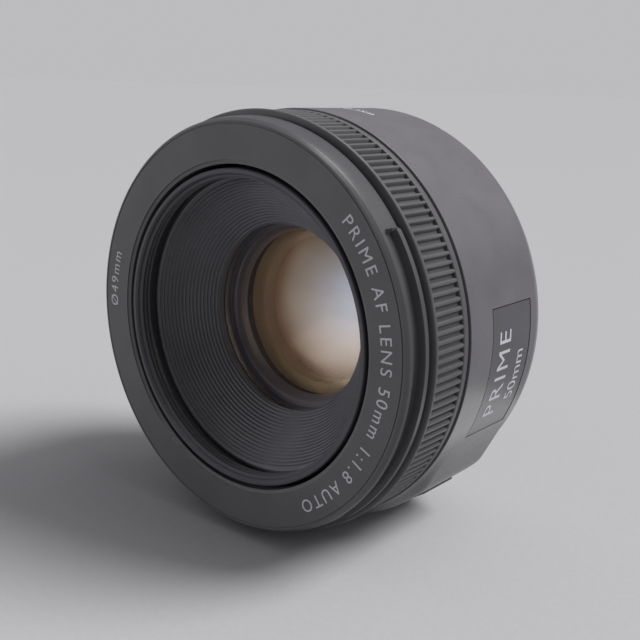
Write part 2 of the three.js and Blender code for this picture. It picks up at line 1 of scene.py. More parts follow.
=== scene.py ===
"""A compact 50 mm prime lens resting on its switch panel: fine surfaces, finishes, light and camera.

Sizes are in millimetres. A place on the lens is (radius, depth, clock angle): depth runs along the
optical axis from the front face to the mount, and the clock angle is in degrees, seen from the
front, with 0 towards +X and 90 towards +Z.
"""

import json
import math

import bmesh
import bpy
from mathutils import Matrix, Quaternion, Vector


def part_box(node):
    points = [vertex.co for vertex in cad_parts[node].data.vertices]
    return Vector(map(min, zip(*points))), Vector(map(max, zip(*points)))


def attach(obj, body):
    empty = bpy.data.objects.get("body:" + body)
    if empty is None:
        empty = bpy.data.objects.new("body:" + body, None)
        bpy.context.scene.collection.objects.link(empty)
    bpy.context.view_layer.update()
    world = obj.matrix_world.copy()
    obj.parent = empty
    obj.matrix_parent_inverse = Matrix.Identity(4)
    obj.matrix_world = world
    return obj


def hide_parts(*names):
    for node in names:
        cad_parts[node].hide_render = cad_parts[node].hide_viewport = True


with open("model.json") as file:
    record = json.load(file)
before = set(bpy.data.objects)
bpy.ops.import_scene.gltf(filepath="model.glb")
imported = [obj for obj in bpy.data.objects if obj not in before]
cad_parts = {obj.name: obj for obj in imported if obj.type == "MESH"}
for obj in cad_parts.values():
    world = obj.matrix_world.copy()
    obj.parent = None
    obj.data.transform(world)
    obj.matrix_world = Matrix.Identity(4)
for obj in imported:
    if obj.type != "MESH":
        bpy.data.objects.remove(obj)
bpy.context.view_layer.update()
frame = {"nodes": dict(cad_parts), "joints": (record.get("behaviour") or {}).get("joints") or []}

MM = 0.001
FRONT_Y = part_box("front_barrel")[0].y / MM
AXIS_Z = next(j for j in frame["joints"] if j["name"] == "focus_ring_turn")["pos_m"][2] / MM
LENGTH = (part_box("bayonet_mount")[1].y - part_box("front_barrel")[0].y) / MM
BARREL_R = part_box("rear_barrel")[1].z / MM - AXIS_Z
TOP_T = -8.25  # clock angle of the lens's own top
SEGMENTS = 256
CORNER_STEPS = 4
SHARP = 38  # degrees between two faces from which on their edge stays sharp


# ---------------------------------------------------------------- shapes

def at(r, s, t):
    """The point at radius r, depth s and clock angle t, in the row frame, in metres."""
    angle = math.radians(t)
    return Vector((r * math.cos(angle), FRONT_Y + s, AXIS_Z + r * math.sin(angle))) * MM


def smooth_step(x):
    """0 below 0, 1 above 1, and a smooth rise between them."""
    x = min(max(x, 0.0), 1.0)
    return x * x * (3 - 2 * x)


def rounded(profile):
    """A closed (radius, depth) outline whose corners with a third number are rounded to it."""
    out = []
    count = len(profile)
    for i, corner in enumerate(profile):
        here = Vector(corner[:2])
        size = corner[2] if len(corner) > 2 else 0
        if not size:
            out.append(here)
            continue
        before = Vector(profile[i - 1][:2]) - here
        after = Vector(profile[(i + 1) % count][:2]) - here
        half = before.angle(after) / 2
        reach = min(size / math.tan(half), before.length * 0.45, after.length * 0.45)
        start = here + before.normalized() * reach
        end = here + after.normalized() * reach
        for k in range(CORNER_STEPS + 1):
            u = k / CORNER_STEPS
            out.append(start * (1 - u) ** 2 + here * (2 * u * (1 - u)) + end * u ** 2)
    return out


def put_in_scene(name, data):
    """A new object in the scene that shows a mesh, a curve, a light or a camera."""
    obj = bpy.data.objects.new(name, data)
    bpy.context.scene.collection.objects.link(obj)
    return obj


def evaluated_mesh(obj):
    """The mesh that obj shows once its modifiers have worked."""
    bpy.context.view_layer.update()
    graph = bpy.context.evaluated_depsgraph_get()
    return bpy.data.meshes.new_from_object(obj.evaluated_get(graph))


def shade(obj, sharp=SHARP):
    """Smooth shading that breaks at edges sharper than `sharp` degrees."""
    obj.data.shade_smooth()
    obj.data.set_sharp_from_angle(angle=math.radians(sharp))
    if "flat faces" not in obj.modifiers:
        even = obj.modifiers.new("flat faces", "WEIGHTED_NORMAL")
        even.keep_sharp = True


def finish_mesh(name, bm, sharp=SHARP):
    """The piece made of bm's faces, with smooth shading between its edges."""
    bmesh.ops.remove_doubles(bm, verts=bm.verts, dist=1e-7)
    bmesh.ops.recalc_face_normals(bm, faces=bm.faces)
    mesh = bpy.data.meshes.new(name)
    bm.to_mesh(mesh)
    bm.free()
    obj = put_in_scene(name, mesh)
    shade(obj, sharp)
    return obj


def skin(name, columns, closed=True, sharp=SHARP):
    """A surface through columns of points, each column a closed outline. An open one gets caps."""
    bm = bmesh.new()
    rows = [[bm.verts.new(p) for p in column] for column in columns]
    count = len(rows[0])
    spans = len(rows) if closed else len(rows) - 1
    for i in range(spans):
        here, there = rows[i], rows[(i + 1) % len(rows)]
        for j in range(count):
            k = (j + 1) % count
            bm.faces.new((here[j], here[k], there[k], there[j]))
    if not closed:
        bm.faces.new(rows[0])
        bm.faces.new(rows[-1])
    return finish_mesh(name, bm, sharp)


def turned(name, profile, sharp=SHARP):
    """A body of revolution about the optical axis, from a closed outline."""
    points = rounded(profile)
    angles = [360 * i / SEGMENTS for i in range(SEGMENTS)]
    return skin(name, [[at(p.x, p.y, t) for p in points] for t in angles], sharp=sharp)


def drawn_in(value, middle, step):
    """The value moved towards the middle by `step`, but not past it."""
    return value - math.copysign(min(step, abs(value - middle)), value - middle)


def sector(name, profile, t0, t1, steps=48, ends=0.0):
    """Part of a body of revolution from clock angle t0 to t1, its ends eased by `ends` mm."""
    points = rounded(profile)
    middle = sum(p.x for p in points) / len(points)
    depth = sum(p.y for p in points) / len(points)
    ease = math.degrees(ends / middle)
    stops = [(t0 + (t1 - t0) * i / steps, 0.0) for i in range(steps + 1)]
    if ends:
        stops = [s for s in stops if t0 + ease < s[0] < t1 - ease]
        edge = [math.radians(22.5 * k) for k in range(5)]
        rise = [(1 - math.sin(a), 1 - math.cos(a)) for a in edge]
        stops = (
            [(t0 + ease * b, ends * a) for a, b in rise] + stops
            + [(t1 - ease * b, ends * a) for a, b in reversed(rise)]
        )
    columns = []
    for t, shrink in stops:
        columns.append([
            at(drawn_in(p.x, middle, shrink), drawn_in(p.y, depth, shrink), t) for p in points
        ])
    return skin(name, columns, closed=False)


def lathe(name, rings, sharp=SHARP):
    """A surface through rings of points, where a ring of a single point is a pole."""
    bm = bmesh.new()
    loops = [[bm.verts.new(p) for p in ring] for ring in rings]
    for low, high in zip(loops, loops[1:]):
        count = max(len(low), len(high))
        for k in range(count):
            n = (k + 1) % count
            corners = [low[k % len(low)], low[n % len(low)], high[n % len(high)], high[k % len(high)]]
            bm.faces.new(list(dict.fromkeys(corners)))
    return finish_mesh(name, bm, sharp)


def rod(name, outline, centre, along, up):
    """A solid of revolution of (radius, height) points about the line from centre along `along`."""
    across = along.cross(up).normalized()
    other = across.cross(along).normalized()
    sides = 40
    rings = []
    for r, h in outline:
        ring = []
        for k in range(sides if r else 1):
            a = math.tau * k / sides
            sideways = across * (r * math.cos(a)) + other * (r * math.sin(a))
            ring.append(centre + (along * h + sideways) * MM)
        rings.append(ring)
    return lathe(name, rings)


def brick(name, low, high, bevel=0.0):
    """A block between two corners in the row frame, in millimetres, with softened edges."""
    bm = bmesh.new()
    bmesh.ops.create_cube(bm, size=1)
    size = Vector(high) - Vector(low)
    for v in bm.verts:
        v.co = Vector([low[k] + (v.co[k] + 0.5) * size[k] for k in range(3)]) * MM
    if bevel:
        bmesh.ops.bevel(
            bm, geom=bm.edges[:], offset=bevel * MM, segments=3, profile=0.5, affect="EDGES",
        )
    return finish_mesh(name, bm)


def carve(obj, cutters, operation="DIFFERENCE"):
    """Cuts the cutters out of obj, or joins them to it."""
    obj.modifiers.clear()
    for cutter in cutters:
        tool = obj.modifiers.new("tool", "BOOLEAN")
        tool.operation = operation
        tool.solver = "EXACT"
        tool.object = cutter
        cutter.modifiers.clear()
    result = evaluated_mesh(obj)
    obj.modifiers.clear()
    obj.data = result
    for cutter in cutters:
        bpy.data.objects.remove(cutter)
    shade(obj)
    return obj


def place(obj, body, slot, material, *nodes):
    """Hangs obj on its CAD body in the place of the CAD nodes, with its finish."""
    obj.data.materials.clear()
    obj.data.materials.append(material)
    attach(obj, body)
    if nodes:
        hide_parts(*nodes)
    return obj


# ---------------------------------------------------------------- finishes

NOISE_LOW = 0.3  # nearly all of a noise lies between these two values
NOISE_HIGH = 0.7


class Paint:
    """A material with a Principled shader, and short ways to add nodes to it."""

    def __init__(self, name, colour, roughness, metallic=0.0):
        self.material = bpy.data.materials.new(name)
        self.material.use_nodes = True
        self.tree = self.material.node_tree
        self.shader = self.tree.nodes["Principled BSDF"]
        self.output = self.tree.nodes["Material Output"]
        self.shader.inputs["Base Color"].default_value = (*colour, 1)
        self.shader.inputs["Roughness"].default_value = roughness
        self.shader.inputs["Metallic"].default_value = metallic
        self.colour = colour
        self.roughness = roughness
        self.coordinates = self.add("ShaderNodeTexCoord").outputs["Object"]

    def add(self, kind, values=None, **settings):
        """A new node with its settings and with the values of its inputs."""
        node = self.tree.nodes.new(kind)
        for key, setting in settings.items():
            setattr(node, key, setting)
        for key, value in (values or {}).items():
            node.inputs[key].default_value = value
        return node

    def link(self, source, target):
        """Joins a node's output to another node's input."""
        self.tree.links.new(source, target)

    def noise(self, size, detail, stretch=None):
        """Noise whose blotches are `size` mm across."""
        vector = self.coordinates
        if stretch:
            scale = self.add("ShaderNodeVectorMath", {1: stretch}, operation="MULTIPLY")
            self.link(vector, scale.inputs[0])
            vector = scale.outputs[0]
        node = self.add("ShaderNodeTexNoise", {"Scale": 1 / (size * MM), "Detail": detail})
        self.link(vector, node.inputs["Vector"])
        return node.outputs["Fac"]

    def from_axis(self):
        """The distance from the optical axis, in millimetres."""
        shift = self.add("ShaderNodeVectorMath", {1: (0, 0, AXIS_Z * MM)}, operation="SUBTRACT")
        self.link(self.coordinates, shift.inputs[0])
        flat = self.add("ShaderNodeVectorMath", {1: (1 / MM, 0, 1 / MM)}, operation="MULTIPLY")
        self.link(shift.outputs[0], flat.inputs[0])
        length = self.add("ShaderNodeVectorMath", operation="LENGTH")
        self.link(flat.outputs[0], length.inputs[0])
        return length.outputs["Value"]

    def rings(self, pitch):
        """Turning marks: fine uneven rings about the axis, `pitch` mm apart."""
        values = {"Scale": 1 / pitch, "Detail": 3}
        node = self.add("ShaderNodeTexNoise", values, noise_dimensions="1D")
        self.link(self.from_axis(), node.inputs["W"])
        return node.outputs["Fac"]

    def ramp(self, source, stops):
        """The colour at the source's value, between (position, colour) stops."""
        node = self.add("ShaderNodeValToRGB")
        band = node.color_ramp
        while len(band.elements) < len(stops):
            band.elements.new(0.5)
        for element, (position, colour) in zip(band.elements, stops):
            element.position = position
            element.color = (*colour, 1)
        self.link(source, node.inputs[0])
        return node.outputs[0]

    def spread(self, source, low, high):
        """Stretches the middle of a noise over the range from low to high."""
        node = self.add("ShaderNodeMapRange", {
            "From Min": NOISE_LOW, "From Max": NOISE_HIGH, "To Min": low, "To Max": high,
        })
        self.link(source, node.inputs["Value"])
        return node.outputs[0]

    def tint(self, source, amount):
        """Lets the colour vary by plus or minus `amount`, as a share of it, with the source."""
        low = [c * (1 - amount) for c in self.colour]
        high = [c * (1 + amount) for c in self.colour]
        stops = [(NOISE_LOW, low), (NOISE_HIGH, high)]
        self.link(self.ramp(source, stops), self.shader.inputs["Base Color"])

    def gloss(self, source, amount):
        """Lets the roughness vary by plus or minus `amount` with the source."""
        roughness = self.spread(source, self.roughness - amount, self.roughness + amount)
        self.link(roughness, self.shader.inputs["Roughness"])

    def bump(self, source, height):
        """Relief of `height` mm from the source."""
        node = self.add("ShaderNodeBump", {"Strength": 1, "Distance": height * MM})
        self.link(source, node.inputs["Height"])
        self.link(node.outputs[0], self.shader.inputs["Normal"])


def moulded(name, colour, roughness, grain, relief):
    """Spark-eroded moulded plastic: a fine grain, faint mottling and uneven gloss."""
    paint = Paint(name, colour, roughness)
    fine = paint.noise(grain, 3)
    paint.tint(paint.noise(6, 4), 0.08)
    paint.gloss(fine, 0.06)
    paint.bump(fine, relief)
    return paint.material


def machined(name, colour, roughness):
    """Turned metal: fine rings about the axis over faint stains."""
    paint = Paint(name, colour, roughness, 1.0)
    marks = paint.rings(0.12)
    paint.tint(paint.noise(5, 4), 0.06)
    paint.gloss(marks, 0.08)
    paint.bump(marks, 0.002)
    return paint.material


def plain_metal(name, colour, roughness):
    """Plated or drawn metal with fine scratches along the axis."""
    paint = Paint(name, colour, roughness, 1.0)
    scratches = paint.noise(0.25, 3, stretch=(1, 0.15, 1))
    paint.tint(paint.noise(3, 4), 0.1)
    paint.gloss(scratches, 0.07)
    paint.bump(scratches, 0.0015)
    return paint.material


def circuit_board(name):
    """Green lacquer over copper tracks."""
    paint = Paint(name, (0.02, 0.12, 0.05), 0.35)
    cells = paint.add("ShaderNodeTexBrick", {
        "Scale": 1 / (9 * MM), "Mortar Size": 0.03, "Mortar": (0.05, 0.22, 0.09, 1),
        "Color1": (0.018, 0.11, 0.045, 1), "Color2": (0.022, 0.135, 0.055, 1),
    })
    turn = paint.add("ShaderNodeVectorRotate", {"Angle": math.radians(90)}, rotation_type="X_AXIS")
    paint.link(paint.coordinates, turn.inputs["Vector"])
    paint.link(turn.outputs[0], cells.inputs["Vector"])
    paint.link(cells.outputs["Color"], paint.shader.inputs["Base Color"])
    paint.gloss(paint.noise(1.5, 3), 0.08)
    paint.bump(cells.outputs["Fac"], 0.02)
    return paint.material


def coated_glass(name, mirror_face, mirror_edge, strength, haze):
    """Clear glass whose coating mirrors a tinted share of the light, more of it when seen edge on."""
    paint = Paint(name, mirror_face, 0.05)
    paint.tree.nodes.remove(paint.shader)
    clear = paint.add("ShaderNodeBsdfTransparent", {"Color": (0.96, 0.96, 0.95, 1)})
    mirror = paint.add("ShaderNodeBsdfAnisotropic")
    facing = paint.add("ShaderNodeLayerWeight", {"Blend": 0.45})
    tint = paint.ramp(facing.outputs["Facing"], [(0.08, mirror_face), (0.6, mirror_edge)])
    paint.link(tint, mirror.inputs["Color"])
    smears = paint.spread(paint.noise(9, 2), haze * 0.97, haze * 1.03)
    paint.link(smears, mirror.inputs["Roughness"])
    share = paint.add("ShaderNodeMapRange", {"To Min": strength, "To Max": min(1.0, strength * 3)})
    paint.link(facing.outputs["Fresnel"], share.inputs["Value"])
    mix = paint.add("ShaderNodeMixShader")
    paint.link(share.outputs[0], mix.inputs["Fac"])
    paint.link(clear.outputs[0], mix.inputs[1])
    paint.link(mirror.outputs[0], mix.inputs[2])
    paint.link(mix.outputs[0], paint.output.inputs["Surface"])
    return paint.material


ring_finish = moulded("name_ring_satin", (0.060, 0.060, 0.065), 0.33, 0.10, 0.002)
grip_finish = moulded("focus_grip_satin", (0.075, 0.073, 0.078), 0.5, 0.12, 0.003)
barrel_finish = moulded("barrel_satin", (0.110, 0.105, 0.114), 0.30, 0.13, 0.002)
plate_finish = moulded("plate_satin", (0.070, 0.067, 0.074), 0.34, 0.08, 0.0015)
panel_finish = moulded("panel_satin", (0.110, 0.105, 0.114), 0.30, 0.12, 0.002)
inner_finish = moulded("inner_barrel_satin", (0.045, 0.045, 0.052), 0.42, 0.10, 0.002)
retainer_finish = moulded("front_retainer_satin", (0.075, 0.069, 0.078), 0.36, 0.10, 0.001)
# the front cell's light amber stands in for the amber coating reflection seen through the front glass:
# painted reflection
painted_amber_reflection = moulded("front_cell_painted_amber_reflection", (0.44, 0.33, 0.21), 0.5, 0.10, 0.001)
baffle_finish = moulded("baffle_matt", (0.102, 0.101, 0.112), 0.5, 0.09, 0.002)
cell_finish = moulded("cell_matt", (0.010, 0.010, 0.012), 0.55, 0.10, 0.002)
# matt black: the blackened rims of the glass elements, and painted shade on the ring set in the gap
# behind the name ring
edge_black_and_gap_shade = moulded("blackened_glass_edge_and_gap_shade", (0.006, 0.006, 0.007), 0.7, 0.08, 0.001)
contact_finish = moulded("contact_block_black", (0.014, 0.014, 0.015), 0.4, 0.08, 0.002)
ring_marking_finish = moulded("ring_marking", (0.33, 0.325, 0.35), 0.5, 0.06, 0.001)
marking_finish = moulded("printed_marking", (0.50, 0.49, 0.53), 0.5, 0.06, 0.001)
red_finish = moulded("index_red_paint", (0.55, 0.025, 0.02), 0.35, 0.10, 0.002)
mount_finish = machined("mount_steel_turned", (0.55, 0.55, 0.57), 0.28)
screw_finish = plain_metal("screw_steel_dark", (0.32, 0.32, 0.33), 0.34)
gold_finish = plain_metal("contact_gold_plate", (0.83, 0.60, 0.25), 0.25)
brass_finish = plain_metal("gear_brass_cut", (0.60, 0.43, 0.17), 0.34)
aluminium_finish = machined("aluminium_dark", (0.20, 0.20, 0.21), 0.42)
blade_finish = plain_metal("blade_blackened", (0.05, 0.05, 0.055), 0.45)
board_finish = circuit_board("board_lacquer")
front_glass = coated_glass("front_glass_coating", (0.92, 0.82, 0.60), (0.85, 0.62, 0.38), 0.10, 0.20)
second_glass = coated_glass("second_glass_coating", (0.72, 0.80, 1.0), (0.95, 0.64, 0.50), 0.55, 0.58)
deep_glass = coated_glass("inner_glass_coating", (0.45, 0.30, 0.55), (0.7, 0.7, 0.8), 0.05, 0.05)
rear_glass = coated_glass("rear_glass_coating", (0.35, 0.55, 0.42), (0.8, 0.9, 0.85), 0.05, 0.03)


# ---------------------------------------------------------------- name ring and hood bayonet

HOOD_HALF = 43.4  # half the clock angle of each hood groove
HOOD_EASE = 1.0  # degrees over which a groove runs out at its ends
FACE_S = 0.03
RING_FRONT = [
    (30.8, 6.5), (26.2, 5.4), (26.2, 0.42, 0.12), (26.78, 0.22, 0.05), (26.82, FACE_S, 0.02),
    (32.24, FACE_S, 0.03), (32.28, 0.16), (32.40, 0.16), (32.44, 0.05, 0.03), (32.72, 0.08, 0.1),
    (33.16, 0.62, 0.15), (33.26, 1.0, 0.1),
]
HOOD_GROOVE = [
    (33.28, 1.06, 0.03), (33.3, 1.15, 0.03), (32.55, 1.23, 0.06), (32.5, 3.32, 0.06),
    (33.84, 3.44, 0.06), (33.87, 4.32, 0.08), (32.6, 4.4),
]
PLAIN_BAND = [
    (33.32, 1.3, 0.06), (33.36, 1.52, 0.06), (33.42, 2.0, 0.06), (33.48, 3.3, 0.06),
    (33.5, 4.1, 0.06), (33.42, 4.34, 0.08), (32.6, 4.4),
]
SLEEVE = [(31.6, 4.42), (31.6, 19), (30.8, 19)]


def name_ring():
    """The front ring, with the two grooves that the hood clips into."""
    groove = rounded(RING_FRONT + HOOD_GROOVE + SLEEVE)
    plain = rounded(RING_FRONT + PLAIN_BAND + SLEEVE)
    columns = []
    steps = 720
    for i in range(steps):
        t = 360 * i / steps
        from_middle = abs((t - TOP_T + 90) % 180 - 90)
        share = smooth_step((HOOD_HALF - from_middle) / HOOD_EASE + 0.5)
        columns.append([at(*(g * share + p * (1 - share)), t) for g, p in zip(groove, plain)])
    return skin("name_ring", columns, sharp=32)


place(name_ring(), "barrel", "black_plastic", ring_finish, "front_barrel")
# a matt black ring in the gap behind the name ring: painted shade that makes the gap look dark
place(turned("gap_shade_ring", [(31.7, 4.46), (33.0, 4.46), (33.0, 5.08), (31.7, 5.08)]),
      "barrel", "black_plastic", edge_black_and_gap_shade)


# ---------------------------------------------------------------- focus ring

GRIP_TOP = 34.34
GRIP_RIBS = 156
POCKET_REACH = 0.13  # how far a pocket cuts into the rib beside its groove, as a share of the pitch
# across one rib: (share of the pitch, share of the rib's height)
RIB = [
    (0.11, 0), (0.14, 0.02), (0.18, 0.25), (0.32, 0.88), (0.37, 0.98), (0.42, 1), (0.58, 1),
    (0.63, 0.98), (0.68, 0.88), (0.82, 0.25), (0.86, 0.02), (0.89, 0),
]
# along the ring: (radius between the ribs, depth, share of the ribs, share of the pocket)
GRIP_ROWS = [
    (32.0, 5.3, 0, 0), (32.15, 5.15, 0, 0), (34.2, 5.15, 0, 0), (34.38, 5.2, 0, 0),
    (34.48, 5.32, 0, 0), (34.5, 5.45, 0, 0), (34.47, 5.7, 0, 0), (34.36, 5.84, 0, 0),
    (34.1, 5.92, 1, 0), (33.84, 6.02, 1, 0), (33.78, 6.12, 1, 0), (33.78, 9.4, 1, 0),
    (33.78, 12.0, 1, 0), (33.78, 12.3, 1, 0.5), (33.72, 12.62, 1, 1), (33.72, 12.76, 1, 1),
]
REAR_LIP = [
    (34.2, 12.8), (34.3, 12.84), (34.35, 12.92), (34.35, 13.4), (34.34, 13.96), (34.28, 14.1),
    (34.15, 14.2), (33.9, 14.24), (32.15, 14.24), (32.0, 14.1),
]


def focus_grip():
    """The ribbed ring: flat-topped ribs with sloping flanks, and a pocket at each groove's rear end."""
    columns = []
    pitch = 360 / GRIP_RIBS
    for i in range(GRIP_RIBS):
        for share, height in RIB:
            column = []
            for r, s, rise, pocket in GRIP_ROWS:
                shift = pocket * POCKET_REACH * smooth_step((0.45 - share) / 0.3)
                t = (i + share + shift) * pitch
                column.append(at(r + max(GRIP_TOP - r, 0) * height * rise, s, t))
            t = (i + share) * pitch
            columns.append(column + [at(r, s, t) for r, s in REAR_LIP])
    return skin("focus_grip", columns, sharp=40)


place(focus_grip(), "focus_ring", "black_plastic", grip_finish, "focus_ring")


# ---------------------------------------------------------------- rear barrel, plate and switch

PLATE_HALF = 18.3  # half the clock angle of the name plate
PLATE_S = (21.0, 32.8)
# gaps between the plate and its pocket: in mm at its front and rear, in degrees at its two ends
GAP_FRONT = 0.26
GAP_REAR = 0.06
GAP_LOW = 0.06
GAP_HIGH = 0.22
PANEL_T = (-105.0, -27.1)
PANEL_S = (14.7, 35.3)
PANEL_FOOT_R = 34.56
PANEL_BLEND = 3.4  # length of the panel's slope down to the barrel at its front
PAD_R = 36.0
PAD_CREASE = 9  # the higher it is, the sharper the edge between the pad's top and its flat side
SWITCH_PLATE_T = (-103, -53.9)
SWITCH_PLATE_S = (25.2, 34.0)
SWITCH_GAP = 0.3
SWITCH = {"s": 28.0, "throw": 2.5, "width": 4.6, "length": 5.4}


def switch_window(name, low, high):
    """A cutter for the opening that the knob slides in."""
    half = SWITCH["width"] / 2 + SWITCH_GAP
    s0 = FRONT_Y + SWITCH["s"] - SWITCH["length"] / 2 - SWITCH_GAP
    s1 = s0 + SWITCH["length"] + SWITCH["throw"] + 2 * SWITCH_GAP
    return brick(name, (-half, s0, low), (half, s1, high))


def below_floor(name):
    """A cutter for all that would reach below the surface that the lens lies on."""
    return brick(name, (-40, FRONT_Y, -8), (40, FRONT_Y + LENGTH, 0))


def rear_shell():
    """The barrel, with the name plate's pocket and the switch's opening."""
    shell = turned("rear_shell", [
        (31.9, 14.4), (34.6, 14.4, 0.12), (34.6, 34.9, 3.0), (34.2, 36.2, 1.2), (33.4, 37.4, 1.0),
        (32.6, 38.25, 0.3), (32.3, 38.25), (32.3, 38.05), (25.6, 38.05), (25.6, 36.6),
        (33.3, 36.6), (33.3, 18.6), (31.9, 18.6),
    ])
    front = PLATE_S[0] - GAP_FRONT
    rear = PLATE_S[1] + GAP_REAR
    pocket = sector(
        "pocket", [(33.95, front), (36, front), (36, rear), (33.95, rear)],
        TOP_T - PLATE_HALF - GAP_LOW, TOP_T + PLATE_HALF + GAP_HIGH, 24,
    )
    return carve(shell, [pocket, switch_window("slot", AXIS_Z - BARREL_R - 1, 3.0)])


place(rear_shell(), "barrel", "barrel_plastic", barrel_finish, "rear_barrel")


def plate():
    """The name plate, a thin slab in its pocket."""
    s0, s1 = PLATE_S
    profile = [(34.1, s0), (34.53, s0, 0.12), (34.53, s1, 0.12), (34.1, s1)]
    return sector("name_plate_slab", profile, TOP_T - PLATE_HALF, TOP_T + PLATE_HALF, ends=0.12)


place(plate(), "barrel", "plate_plastic", plate_finish, "name_plate")


def panel():
    """The pad under the switch: its flat side leaves the barrel along a tangent, below the plate."""
    columns = []
    t0, t1 = PANEL_T
    s0, s1 = PANEL_S
    steps = 112
    for i in range(steps + 1):
        t = t0 + (t1 - t0) * i / steps
        tangent = PANEL_FOOT_R / math.cos(math.radians(min(t1 - t, 30)))
        excess = min(PAD_CREASE * (PAD_R - tangent), 60)
        side = PAD_R - math.log1p(math.exp(excess)) / PAD_CREASE
        rise = (side - PANEL_FOOT_R) * smooth_step((t - t0) / 4 + 0.1)
        column = [(33.9, s0)]
        for k in range(13):
            u = k / 12
            column.append((PANEL_FOOT_R + rise * smooth_step(u), s0 + PANEL_BLEND * u))
        top = PANEL_FOOT_R + rise
        column += [(top, s1 - 0.9), (top - 0.08, s1 - 0.5), (top - 0.3, s1 - 0.15)]
        column += [(top - 0.6, s1), (33.6, s1)]
        columns.append([at(r, s, t) for r, s in column])
    pad = skin("switch_pad", columns, closed=False)
    front = SWITCH_PLATE_S[0] - SWITCH_GAP
    rear = SWITCH_PLATE_S[1] + SWITCH_GAP
    recess = sector(
        "recess", [(35.55, front), (38, front), (38, rear), (35.55, rear)],
        SWITCH_PLATE_T[0] - 0.4, SWITCH_PLATE_T[1] + 0.7,
    )
    return carve(pad, [below_floor("flat"), switch_window("window", -1, 4.0), recess])


def switch_plate():
    """The proud plate round the switch knob, with a thin gap about it."""
    s0, s1 = SWITCH_PLATE_S
    profile = [(35.5, s0), (36.4, s0, 0.15), (36.4, s1, 0.15), (35.5, s1)]
    slab = sector("switch_plate", profile, *SWITCH_PLATE_T, ends=0.12)
    return carve(slab, [below_floor("flat"), switch_window("window", -1, 4.0)])


place(panel(), "barrel", "black_plastic", panel_finish, "switch_panel")
place(switch_plate(), "barrel", "black_plastic", panel_finish)


def knob():
    """The switch's slider, with grooves across it for the finger."""
    low, high = (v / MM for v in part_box("switch_knob"))
    middle = (low.y + high.y) / 2
    body = brick("switch_slider", low, (high.x, high.y, low.z + 2), 0.25)
    pitch = 0.62
    half = 0.14
    depth = 0.22
    grips = []
    for k in range(-3, 4):
        y = middle + k * pitch
        corner = (high.x + 1, y + half, low.z + depth)
        grips.append(brick(f"grip_{k}", (low.x - 1, y - half, low.z - 1), corner))
    return carve(body, grips)


place(knob(), "focus_switch", "black_plastic", grip_finish, "switch_knob")


# ---------------------------------------------------------------- optical unit

def bell():
    """The inner barrel: its rounded rim, the filter thread, the baffle's seat and the rear tube."""
    thread = []
    for k in range(3):
        s = 0.95 + 0.75 * k
        thread += [(24.55, s), (24.1, s + 0.28, 0.03), (24.1, s + 0.42, 0.03), (24.55, s + 0.7)]
    profile = [
        (24.6, 0.62, 0.1), (24.86, 0.32, 0.1), (25.45, 0.30, 0.22), (25.6, 0.6, 0.1), (25.6, 4.4),
        (25.85, 5), (25.85, 15), (19.4, 15.4), (19.4, 32.9), (18.5, 32.9), (18.5, 16.4),
        (16.62, 16.4), (16.62, 14.6), (24.9, 14.2), (25.25, 14.0), (25.25, 3.62), (24.55, 3.3),
        *reversed(thread),
    ]
    return turned("bell", profile, sharp=34)


place(bell(), "optical_unit", "inner_plastic", inner_finish, "inner_barrel")

MOUTH = Vector((24.05, 4.9))
THROAT = Vector((15.95, 12.1))
CONE_STEPS = 17
STEP_DEPTH = 0.3


def ribbed_cone():
    """The stepped cone in front of the glass."""
    slope = (THROAT - MOUTH) / CONE_STEPS
    outward = Vector((slope.y, -slope.x)).normalized() * STEP_DEPTH
    profile = [(25.1, 5.25), (25.1, 5.1), (24.3, 4.75, 0.1)]
    for k in range(CONE_STEPS):
        crest = MOUTH + slope * k
        profile.append((*(crest + slope * 0.10), 0.05))
        profile.append((*(crest + slope * 0.42), 0.05))
        profile.append((*(crest + slope * 0.55 + outward), 0.03))
        profile.append((*(crest + slope * 0.95 + outward), 0.03))
    profile += [(*THROAT, 0.1), (16.5, 14.0), (24.6, 6.6)]
    return turned("ribbed_cone", profile, sharp=45)


place(ribbed_cone(), "optical_unit", "inner_plastic", baffle_finish, "ribbed_baffle")

place(turned("front_glass_ring", [
    (16.2, 13.7), (16.55, 13.7), (16.55, 16.1), (15.6, 17.6), (14.35, 17.62, 0.05), (14.4, 17.2, 0.1),
    (14.62, 16.3, 0.4), (15.0, 15.5, 0.3), (15.35, 15.25, 0.1), (16.2, 15.2, 0.2),
]), "optical_unit", "inner_plastic", retainer_finish, "front_retainer")


def dome(vertex, radius, rim):
    """The (radius, depth) points of a spherical face, from the axis to its rim."""
    steps = 20
    points = []
    for k in range(steps + 1):
        r = rim * k / steps
        sag = abs(radius) - math.sqrt(radius * radius - r * r)
        points.append(Vector((r, vertex + math.copysign(sag, radius))))
    return points


def element(name, front, rear, rim, front_rim, rear_rim):
    """A lens element between two spherical faces, each given as (vertex depth, radius)."""
    face = dome(*front, front_rim or rim)
    back = dome(*rear, rear_rim or rim)
    outline = face[:]
    if front_rim:
        outline.append(Vector((rim, face[-1].y)))
    if rear_rim:
        outline.append(Vector((rim, back[-1].y)))
    outline += reversed(back)
    sides = 128
    rings = [[at(p.x, p.y, 360 * k / sides) for k in range(sides if p.x else 1)] for p in outline]
    return lathe(name, rings, 25)


